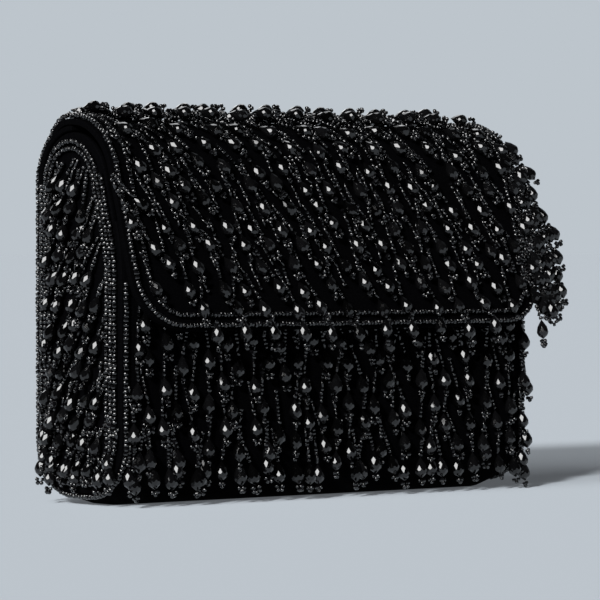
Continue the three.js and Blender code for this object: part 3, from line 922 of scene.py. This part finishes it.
def within_flap(across, down):
    """Whether a place is inside the flap's rounded outline, less the margin of its field."""
    past_side = abs(across) - (HALF_WIDTH - FLAP_CORNER)
    beyond = math.hypot(max(0, past_side), max(0, down - FLAP_STRAIGHT))
    return beyond <= FLAP_CORNER - FLAP_FIELD_MARGIN


def combed(down, chance):
    """How far a strand on the flap leans to the right, less towards the flap's lower edge."""
    return chance.gauss(np.interp(down, COMB_AT, COMB_LEAN), COMB_SPREAD)


def flap_field(strands):
    """The lattice of drops on the flap, which stand proud over the crown."""
    chance = strands.chance
    rows = range(0, FLAP_FIELD_ROWS)
    for across, down in lattice(FLAP_HALF_COLUMNS, rows, DROPS_ACROSS, FLAP_DOWN):
        place = down + FLAP_FIELD_FROM
        over_edge = across > HALF_WIDTH - FLAP_CORNER and place > FLAP_OVERHANG_FROM
        on_crown = place < CROWN_UNTIL
        if on_crown and across > CROWN_END:
            continue
        if over_edge or within_flap(across, place):
            proud = CROWN_PROUD if on_crown else 0.0
            aside = chance.gauss(0, FLAP_STRAY[0])
            below = 0.0 if on_crown else chance.gauss(0, FLAP_STRAY[1])
            tries = GLINT_TRIES if place < GLINTS_UNTIL else 1
            strands.hang(across + aside, place + below, combed(place, chance), proud, tries=tries)


def crown_row(strands):
    """One more row of drops over the crown, sunk between the others."""
    chance = strands.chance
    for i in CROWN_COLUMNS:
        across = (i + 0.5) * DROPS_ACROSS + chance.gauss(0, FLAP_STRAY[0] / 2)
        lean = combed(0, chance)
        strands.hang(across, CROWN_MIDDLE, lean, CROWN_SUNK, tries=GLINT_TRIES)


def overhang(strands):
    """The drops that hang over the flap's right edge, in a few columns."""
    for k, down in enumerate(FLAP_OVERHANG):
        furthest = np.interp(down, OVERHANG_AT, OVERHANG_REACH)
        reach = furthest - OVERHANG_APART * (k % OVERHANG_COLUMNS)
        back = -max(0.0, reach) - OVERHANG_ROOT
        strands.hang(HALF_WIDTH + reach, down, strands.chance.gauss(*OVERHANG_LEAN), veer=back)


def sewn_strands(strands):
    """Strands without drops, on some of the places that the flap's lattice leaves free."""
    chance = strands.chance
    rows = range(1, FLAP_FIELD_ROWS)
    for across, down in lattice(FLAP_HALF_COLUMNS - 1, rows, DROPS_ACROSS, FLAP_DOWN):
        place = down - FLAP_DOWN + FLAP_FIELD_FROM
        free = place > SEWN_FROM and within_flap(across, place)
        if free and chance.random() < SEWN_SHARE:
            aside = chance.gauss(0, FLAP_STRAY[0])
            below = chance.gauss(0, FLAP_STRAY[1])
            strands.sew(across + aside, place + below, combed(place, chance))


def flap_strands():
    strands = Strands("flap", flap_spot)
    flap_field(strands)
    crown_row(strands)
    overhang(strands)
    strands.hang_strays()
    sewn_strands(strands)
    strands.dress("flap_drops")


def hanging_spot(across, down, height):
    """Places on the fall of the drops below the flap's edge, which hang upright off it."""
    y, z = FLAP.at(FLAP.length, WALL + SEED + height)
    return Vector((across, y, z - down))


def fringe_strands():
    strands = Strands("flap_fringe", hanging_spot)
    for i in FRINGE_COLUMNS:
        strands.hang(i * DROPS_ACROSS, FRINGE_DROP_AT, strands.chance.gauss(*FRINGE_LEAN))
    strands.hang_strays()
    strands.dress()


def gusset_strands(end, side):
    """The drops on a side panel, inside its border and under its arch."""
    inner = Section(BODY_ARCS, BORDER_ROWS_IN[-1] + DROP_WIDTH / 2)
    inside = [Vector(point) for point in inner.points]
    arch = sorted(tuple(point) for point in inner.points if point[1] > SEAM_ROW_TOP)

    def under_arch(across):
        height = np.interp(MIDDLE_Y + across, [y for y, z in arch], [z for y, z in arch])
        return GUSSET_FIELD_TOP - height

    strands = Strands("gusset_" + end, gusset_spot(side), under_arch)
    chance = strands.chance
    for across, down in lattice(**GUSSET_FIELD):
        place = Vector((MIDDLE_Y + across, GUSSET_FIELD_TOP - down))
        turns = [
            (b - a).cross(place - a)
            for a, b in zip(inside, inside[1:])
            if (b - a).length > GAP
        ]
        if min(turns) >= 0:
            lean = chance.gauss(*GUSSET_LEAN)
            longer = GUSSET_LONG if down < GUSSET_LONG_UNTIL else ""
            aside = GUSSET_HANG[0] + chance.gauss(0, GUSSET_STRAY[0])
            below = GUSSET_HANG[1] + chance.gauss(0, GUSSET_STRAY[1])
            strands.hang(across + aside, down + below, lean, longer=longer)
    strands.hang_strays()
    strands.dress("gusset_" + end + "_drops")


# Strings of seed beads along the edges
def beads_along(points, seed):
    """Seed beads threaded side by side along a line of points."""
    chance = random.Random(seed)
    line = np.array(points)
    runs = np.linalg.norm(np.diff(line, axis=0), axis=1)
    along = np.concatenate([[0.0], np.cumsum(runs)])
    count = round(along[-1] / SEED_PITCH)

    def at(s):
        return Vector([np.interp(s, along, line[:, k]) for k in range(3)])

    matrices = []
    for k in range(count):
        s = (k + 0.5) * along[-1] / count
        way = at(s + SEED_PITCH / 2) - at(s - SEED_PITCH / 2)
        tilt = jitter(chance, EDGE_TILT)
        stray = jitter(chance, EDGE_STRAY)
        size = chance.uniform(*EDGE_SIZES)
        matrices.append(threaded(at(s) + stray, way.normalized() + tilt, chance, size))
    return matrices


def string_piece(name, lines, *replaced):
    """One piece of the seed beads along a few lines."""
    seed = CHANCE[name]
    matrices = [matrix for k, line in enumerate(lines) for matrix in beads_along(line, seed + k)]
    mesh = beads_mesh(name, EDGE_SEED_SHAPE, matrices, seed)
    add_piece(name, mesh, SEED_GLASS, replaced)


def flap_row(inset, below):
    """A line round the flap, drawn in from its side edges and up from its lower edge."""
    height = GAP + SEED / 2
    half = []
    for k in range(FLAP_ROW_STEPS):
        down = EDGE_ROW_IN + (FLAP_STRAIGHT - EDGE_ROW_IN) * k / FLAP_ROW_STEPS
        half.append((HALF_WIDTH - inset, down))
    for k in range(FLAP_ROW_CORNER_STEPS + 1):
        turn = math.pi / 2 * k / FLAP_ROW_CORNER_STEPS
        across = HALF_WIDTH - FLAP_CORNER + (FLAP_CORNER - inset) * math.cos(turn)
        half.append((across, FLAP_STRAIGHT + (FLAP_CORNER - below) * math.sin(turn)))
    left = [flap_spot(-across, down, height) for across, down in half]
    right = [flap_spot(across, down, height) for across, down in reversed(half)]
    return left + right


def body_row(side):
    """A line along one side edge of the strip, from under the flap to the top of the back."""
    arcs = [
        corner_at((FRONT_Y, BODY_ROW_TOP), 180),
        BASE_FRONT,
        BASE_BACK,
        CROWN_BACK._replace(end=360 + BODY_ROW_BACK_DEG),
    ]
    section = Section(arcs, -SEED / 2)
    line = [softened(side * (HALF_WIDTH - EDGE_ROW_IN), y, z) for y, z in section.points]
    return line + [flap_spot(side * (HALF_WIDTH - EDGE_ROW_IN), EDGE_ROW_IN, GAP + SEED / 2)]


def border_row(side, inset):
    """A line round a side panel, drawn in from the body's outline by an inset."""
    ring = [corner_at((MIDDLE_Y, 0), 270), BASE_BACK, CROWN_BACK]
    ring += [arc._replace(start=arc.start + 360, end=arc.end + 360) for arc in BODY_ARCS[:3]]
    ring.append(corner_at((MIDDLE_Y, 0), 630))
    section = Section(ring, inset)
    x = GUSSET_FACE + GAP + SEED / 2
    lifted = [softened(x, y, z) for y, z in section.points]
    return [Vector((side * x, place.y, place.z)) for place in lifted]


def below_arch(line):
    """The run of a border row from one side of the arch down round the base to the other side."""
    over = [k for k, place in enumerate(line) if place.z > SEAM_ROW_TOP]
    return line[over[-1]:] + line[: over[0] + 1]


# Cloth
def sheet_mesh(name, columns, stations, place):
    """A sheet of cloth through places across and along it, with its threads as UV in metres."""
    bm = bmesh.new()
    threads = bm.loops.layers.uv.new("threads")
    bmesh.ops.create_grid(
        bm, x_segments=len(columns) - 1, y_segments=len(stations) - 1, size=1, calc_uvs=True
    )

    def laid_out(vert):
        """The place across and along the sheet that a point of the square grid stands for."""
        across = columns[round((vert.co.x + 1) / 2 * (len(columns) - 1))]
        down = stations[round((vert.co.y + 1) / 2 * (len(stations) - 1))]
        return across, down

    for face in bm.faces:
        for loop in face.loops:
            loop[threads].uv = laid_out(loop.vert)
    for vert in bm.verts:
        vert.co = place(*laid_out(vert))
    bmesh.ops.reverse_faces(bm, faces=bm.faces)
    mesh = bpy.data.meshes.new(name)
    bm.to_mesh(mesh)
    bm.free()
    mesh.shade_smooth()
    return mesh


def thicken(piece):
    """Gives a sheet its wall, inwards from its outer face, and soft edges."""
    solid = piece.modifiers.new("wall", "SOLIDIFY")
    solid.thickness = WALL
    solid.offset = -1
    edge = piece.modifiers.new("soft_edge", "BEVEL")
    edge.width = SOFT_EDGE
    edge.segments = SOFT_EDGE_STEPS
    edge.limit_method = "ANGLE"


def pucker(place, depth):
    """How far the cloth stands proud or sinks at a place, in soft uneven waves."""
    return depth * sum(share * noise.noise(place * waves) for waves, share in PUCKER_WAVES)


def body_cloth():
    """The strip that makes the front, the base and the back."""
    edges = spread(HALF_WIDTH - SIDE_FROM_EDGE[-1], HALF_WIDTH, CLOTH_EDGE_STEP)
    middle = spread(-edges[0], edges[0], CLOTH_COLUMN_STEP)
    columns = [-x for x in reversed(edges[1:])] + middle + edges[1:]

    def place(x, s):
        y, z = WRAP.at(s)
        at = softened(x, y, z)
        y, z = WRAP.at(s, pucker(at, BODY_PUCKER) if z > BASE_FLAT_UNTIL else 0)
        return softened(x, y, z)

    mesh = sheet_mesh("body_cloth", columns, spread(0, WRAP.length, BODY_CLOTH_STEP), place)
    piece = add_piece("body_cloth", mesh, CLOTH, ["body_wrap"])
    thicken(piece)


def flap_cloth():
    """The flap, with rounded lower corners."""
    turns = [math.pi / 2 * k / FLAP_CORNER_STEPS for k in range(1, FLAP_CORNER_STEPS + 1)]
    corner = [FLAP_STRAIGHT + FLAP_CORNER * math.sin(turn) for turn in turns]
    stations = spread(0, FLAP_STRAIGHT, FLAP_CLOTH_STEP) + corner

    def place(part, s):
        past = min(FLAP_CORNER, max(0, s - FLAP_STRAIGHT))
        half = HALF_WIDTH - FLAP_CORNER + math.sqrt(FLAP_CORNER**2 - past**2)
        at = Vector((part * half / HALF_WIDTH, *FLAP.at(s)))
        return Vector((at.x, *FLAP.at(s, flap_wall(s) + pucker(at, FLAP_PUCKER))))

    columns = spread(-HALF_WIDTH, HALF_WIDTH, CLOTH_COLUMN_STEP)
    mesh = sheet_mesh("flap_cloth", columns, stations, place)
    piece = add_piece("flap_cloth", mesh, CLOTH, ["flap"])
    thicken(piece)


def gusset_cloth(end, side):
    """A side panel as a pillowed sheet that turns in at its rim."""
    rim = Section(BODY_ARCS, WALL + GAP)
    bm = bmesh.new()
    bmesh.ops.create_circle(bm, segments=GUSSET_RIM_POINTS, radius=1, cap_ends=True)
    threads = bm.loops.layers.uv.new("threads")
    x = HALF_WIDTH - GUSSET_SET_IN
    for k, vert in enumerate(bm.verts):
        y, z = rim.at(rim.length * k / GUSSET_RIM_POINTS)
        lifted = softened(x, y, z)
        vert.co = (x, lifted.y, lifted.z)
    bmesh.ops.recalc_face_normals(bm, faces=bm.faces)
    if bm.faces[:][0].normal.x < 0:
        bmesh.ops.reverse_faces(bm, faces=bm.faces)
    middle = bm.faces[:]
    for inwards, outwards in GUSSET_PILLOW:
        bmesh.ops.inset_region(bm, faces=middle, thickness=inwards, depth=outwards)
    for face in bm.faces:
        for loop in face.loops:
            loop[threads].uv = (loop.vert.co.y, loop.vert.co.z)
    for vert in bm.verts:
        vert.co.x *= side
    if side < 0:
        bmesh.ops.reverse_faces(bm, faces=bm.faces)
    mesh = bpy.data.meshes.new("gusset_cloth_" + end)
    bm.to_mesh(mesh)
    bm.free()
    mesh.shade_smooth()
    piece = add_piece(mesh.name, mesh, CLOTH, ["gusset_" + end])
    thicken(piece)
    y, z = rim.points.T
    cut = abs(np.dot(y, np.roll(z, 1)) - np.dot(z, np.roll(y, 1))) / 2
    flat = (float(np.ptp(y)), float(np.ptp(z)))


# The studio
def room():
    """What is round the bag: pale to the camera, and dim with two soft glows to the glass."""
    world = bpy.context.scene.world or bpy.data.worlds.new("studio")
    bpy.context.scene.world = world
    world.use_nodes = True
    tree = world.node_tree
    tree.nodes.clear()
    link = tree.links.new
    path = tree.nodes.new("ShaderNodeLightPath")
    place = tree.nodes.new("ShaderNodeTexCoord")
    lit = add_node(tree, "ShaderNodeBackground", Color=ROOM_DIM).outputs["Background"]
    for color, azimuth, rise, ends, full in MIRRORED:
        ahead = tree.nodes.new("ShaderNodeVectorMath")
        ahead.operation = "DOT_PRODUCT"
        ahead.inputs[1].default_value = towards(azimuth, rise)
        fade = add_node(
            tree,
            "ShaderNodeMapRange",
            From_Min=math.cos(math.radians(ends)),
            From_Max=math.cos(math.radians(full)),
        )
        in_glass = tree.nodes.new("ShaderNodeMath")
        in_glass.operation = "MULTIPLY"
        glow = add_node(tree, "ShaderNodeBackground", Color=color)
        mix = tree.nodes.new("ShaderNodeMixShader")
        link(place.outputs["Generated"], ahead.inputs[0])
        link(ahead.outputs["Value"], fade.inputs["Value"])
        link(fade.outputs["Result"], in_glass.inputs[0])
        link(path.outputs["Is Glossy Ray"], in_glass.inputs[1])
        link(in_glass.outputs["Value"], mix.inputs["Fac"])
        link(lit, mix.inputs[1])
        link(glow.outputs["Background"], mix.inputs[2])
        lit = mix.outputs["Shader"]
    pale = add_node(tree, "ShaderNodeBackground", Color=ROOM_PALE)
    pick = tree.nodes.new("ShaderNodeMixShader")
    out = tree.nodes.new("ShaderNodeOutputWorld")
    link(path.outputs["Is Camera Ray"], pick.inputs["Fac"])
    link(lit, pick.inputs[1])
    link(pale.outputs["Background"], pick.inputs[2])
    link(pick.outputs["Shader"], out.inputs["Surface"])


def pale_floor():
    """The seamless paper that the bag stands on."""
    bm = bmesh.new()
    bmesh.ops.create_circle(bm, segments=FLOOR_SIDES, radius=FLOOR_RADIUS, cap_ends=True)
    mesh = bpy.data.meshes.new("floor")
    bm.to_mesh(mesh)
    bm.free()
    floor = bpy.data.objects.new("floor", mesh)
    bpy.context.scene.collection.objects.link(floor)
    paper = bpy.data.materials.new("pale_paper")
    paper.use_nodes = True
    shader = paper.node_tree.nodes["Principled BSDF"]
    for name, value in FLOOR_LOOK.items():
        shader.inputs[name].default_value = value
    mesh.materials.append(paper)


def lamps():
    """The key light from the upper left, broad for the glints and sharp for the shadow's edge."""
    for name, (azimuth, rise, width, strength) in LIGHTS.items():
        light = bpy.data.lights.new(name, "SUN")
        light.angle = math.radians(width)
        light.energy = strength
        lamp = bpy.data.objects.new(name, light)
        lamp.rotation_euler = towards(azimuth, rise).to_track_quat("Z", "Y").to_euler()
        lamp.visible_glossy = name == "broad"
        bpy.context.scene.collection.objects.link(lamp)


def photo_camera():
    """The camera at the photo's angle."""
    lens = bpy.data.cameras.new("camera")
    lens.sensor_width = CAMERA_SENSOR
    lens.lens = CAMERA_LENS
    lens.shift_x = CAMERA_SHIFT
    lens.clip_end = CAMERA_SEES_TO
    camera = bpy.data.objects.new("camera", lens)
    camera.location = CAMERA_DISTANCE * towards(CAMERA_AZIMUTH, 0) + Vector((0, 0, CAMERA_HEIGHT))
    camera.rotation_euler = (math.radians(90 - CAMERA_PITCH), 0, math.radians(CAMERA_AZIMUTH))
    bpy.context.scene.collection.objects.link(camera)
    bpy.context.scene.camera = camera
    bpy.context.scene.view_settings.view_transform = "Standard"


room()
pale_floor()
lamps()
photo_camera()
body_cloth()
flap_cloth()
front_strands()
back_strands()
flap_strands()
fringe_strands()
outer_row = flap_row(EDGE_ROW_IN, EDGE_ROW_IN)
inner_row = flap_row(EDGE_ROW_IN + FLAP_ROWS_APART_SIDES, EDGE_ROW_IN + FLAP_ROWS_APART_BELOW)
string_piece("flap_edge_beads", [outer_row], "flap_edging_outer")
string_piece("flap_inner_beads", [inner_row], "flap_edging_inner")
for end, side in (("left", -1), ("right", 1)):
    gusset_cloth(end, side)
    gusset_strands(end, side)
    string_piece("body_edge_beads_" + end, [body_row(side)], "body_edging_" + end)
    rows = [border_row(side, inset) for inset in BORDER_ROWS_IN]
    rows.append(below_arch(border_row(side, SEAM_ROW_IN)))
    string_piece("border_beads_" + end, rows, "gusset_" + end + "_border")
